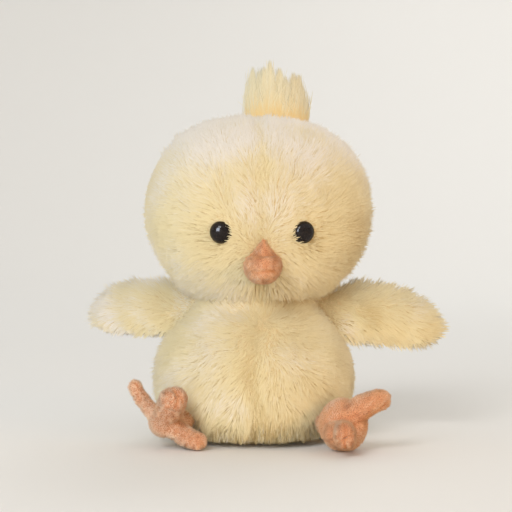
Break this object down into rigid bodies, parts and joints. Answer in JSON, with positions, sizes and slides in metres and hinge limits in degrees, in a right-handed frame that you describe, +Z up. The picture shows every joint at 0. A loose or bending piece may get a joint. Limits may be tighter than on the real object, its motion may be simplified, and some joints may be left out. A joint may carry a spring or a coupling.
{
  "type": "plush chick",
  "caption": "Sitting stuffed toy chick with a round head on a pear-shaped weighted body, spread wings, toed feet, a beak, button eyes and a crest.",
  "frame": {"origin": "middle of the flat base, on the surface the chick sits on", "axes": "+Z up; the body faces -Y; +X is the chick's own left, where one wing spreads"},
  "size_m": [0.1887, 0.1303, 0.2051],
  "materials": {
    "cream_plush": "fluffy pile, pale cream-yellow tips over warmer roots",
    "tuft_pile": "long silky pile, butter yellow",
    "salmon_plush": "short velvet pile, salmon orange",
    "eye_plastic": "polished, near black",
    "washer_plastic": "natural moulded",
    "stuffing_fibre": "loose white fibre",
    "pellet_bag": "loose pellets in a thin cloth bag",
    "sewing_thread": "twisted thread"
  },
  "bodies": {
    "body": {"body_front_left": "cream_plush", "body_front_right": "cream_plush", "body_back": "cream_plush", "body_base": "cream_plush", "body_stuffing": "stuffing_fibre", "pellet_bag": "pellet_bag"},
    "neck": {"neck_stuffing": "stuffing_fibre", "neck_thread": "sewing_thread"},
    "head": {"head_face_left": "cream_plush", "head_face_right": "cream_plush", "head_back": "cream_plush", "head_stuffing": "stuffing_fibre", "eye_left": "eye_plastic", "eye_right": "eye_plastic", "eye_washer_left": "washer_plastic", "eye_washer_right": "washer_plastic", "beak_upper": "salmon_plush", "beak_lower": "salmon_plush", "beak_stuffing": "stuffing_fibre", "tuft": "tuft_pile"},
    "wing_left": {"wing_left_front": "cream_plush", "wing_left_back": "cream_plush", "wing_left_stuffing": "stuffing_fibre"},
    "wing_right": {"wing_right_front": "cream_plush", "wing_right_back": "cream_plush", "wing_right_stuffing": "stuffing_fibre"},
    "foot_left": {"foot_left_upper": "salmon_plush", "foot_left_sole": "salmon_plush", "foot_left_stuffing": "stuffing_fibre"},
    "foot_right": {"foot_right_upper": "salmon_plush", "foot_right_sole": "salmon_plush", "foot_right_stuffing": "stuffing_fibre"}
  },
  "joints": [
    {"name": "head_turn", "type": "hinge", "parent": "body", "child": "neck", "pos_m": [0, 0, 0.078], "axis": [0, 0, 1], "range_deg": [-15, 15], "stiffness_Nm_per_rad": 0.1},
    {"name": "head_nod", "type": "hinge", "parent": "neck", "child": "head", "pos_m": [0, 0, 0.057], "axis": [0.9978, 0.0663, 0], "range_deg": [-8, 8], "stiffness_Nm_per_rad": 0.3},
    {"name": "wing_left_swing", "type": "hinge", "parent": "body", "child": "wing_left", "pos_m": [0.03557, 0, 0.066], "axis": [-0.5736, 0, 0.8192], "range_deg": [-25, 40], "stiffness_Nm_per_rad": 0.02},
    {"name": "wing_right_swing", "type": "hinge", "parent": "body", "child": "wing_right", "pos_m": [-0.03557, 0, 0.066], "axis": [-0.5736, 0, -0.8192], "range_deg": [-57, 8], "stiffness_Nm_per_rad": 0.02},
    {"name": "foot_left_flop", "type": "hinge", "parent": "body", "child": "foot_left", "pos_m": [0.03733, -0.03492, 0.01239], "axis": [-0.8829, -0.4695, 0], "range_deg": [-3, 25], "stiffness_Nm_per_rad": 0.01},
    {"name": "foot_right_flop", "type": "hinge", "parent": "body", "child": "foot_right", "pos_m": [-0.03891, -0.03394, 0.01339], "axis": [-0.682, 0.7314, 0], "range_deg": [-3, 25], "stiffness_Nm_per_rad": 0.01}
  ]
}
